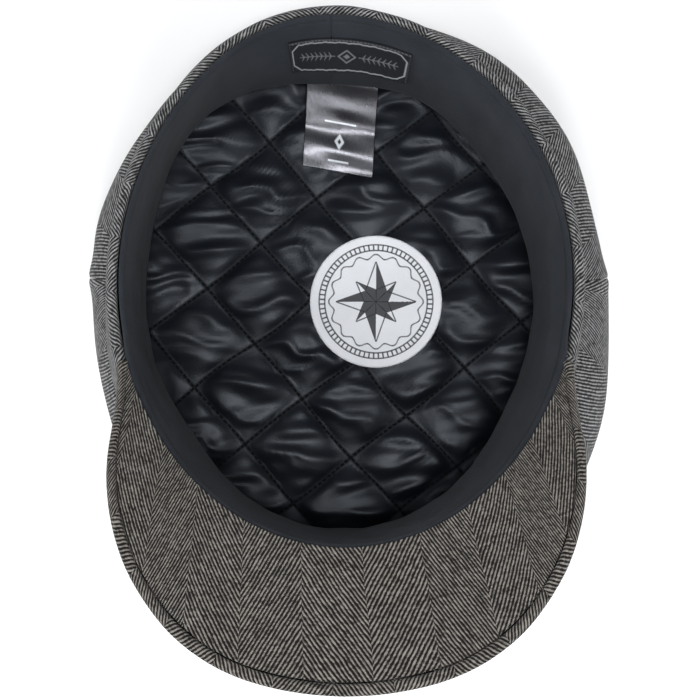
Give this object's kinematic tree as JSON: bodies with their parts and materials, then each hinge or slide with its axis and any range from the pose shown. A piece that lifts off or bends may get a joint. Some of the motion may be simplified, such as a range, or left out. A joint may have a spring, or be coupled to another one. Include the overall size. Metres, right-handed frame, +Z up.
{
  "type": "breton cap",
  "caption": "Soft wool cap with a low full crown on a headband, a stiff curved visor, a sweatband and a quilted lining, lying on its crown with the opening up.",
  "frame": {"origin": "middle of the flat underside of the crown's tip, on which the cap lies", "axes": "+Z up out of the surface on which the cap lies upside down, -Y towards the visor, +Y towards the back of the head, +X to the right seen from above"},
  "size_m": [0.2055, 0.2496, 0.1421],
  "materials": {
    "wool_herringbone": "matt herringbone wool in black and stone grey",
    "black_cotton": "matt black twill",
    "black_satin": "shiny black quilted satin",
    "white_badge": "matt white cloth with dark line work",
    "woven_label": "black woven damask with a silver border",
    "satin_ribbon": "black satin ribbon"
  },
  "bodies": {
    "root": {"crown_tip": "wool_herringbone", "crown_front_panel": "wool_herringbone", "crown_back_panel": "wool_herringbone", "headband": "wool_herringbone", "visor": "wool_herringbone", "visor_facing": "wool_herringbone", "sweatband": "black_cotton", "quilted_lining": "black_satin", "badge": "white_badge", "woven_label": "woven_label", "size_label": "satin_ribbon"}
  },
  "joints": []
}
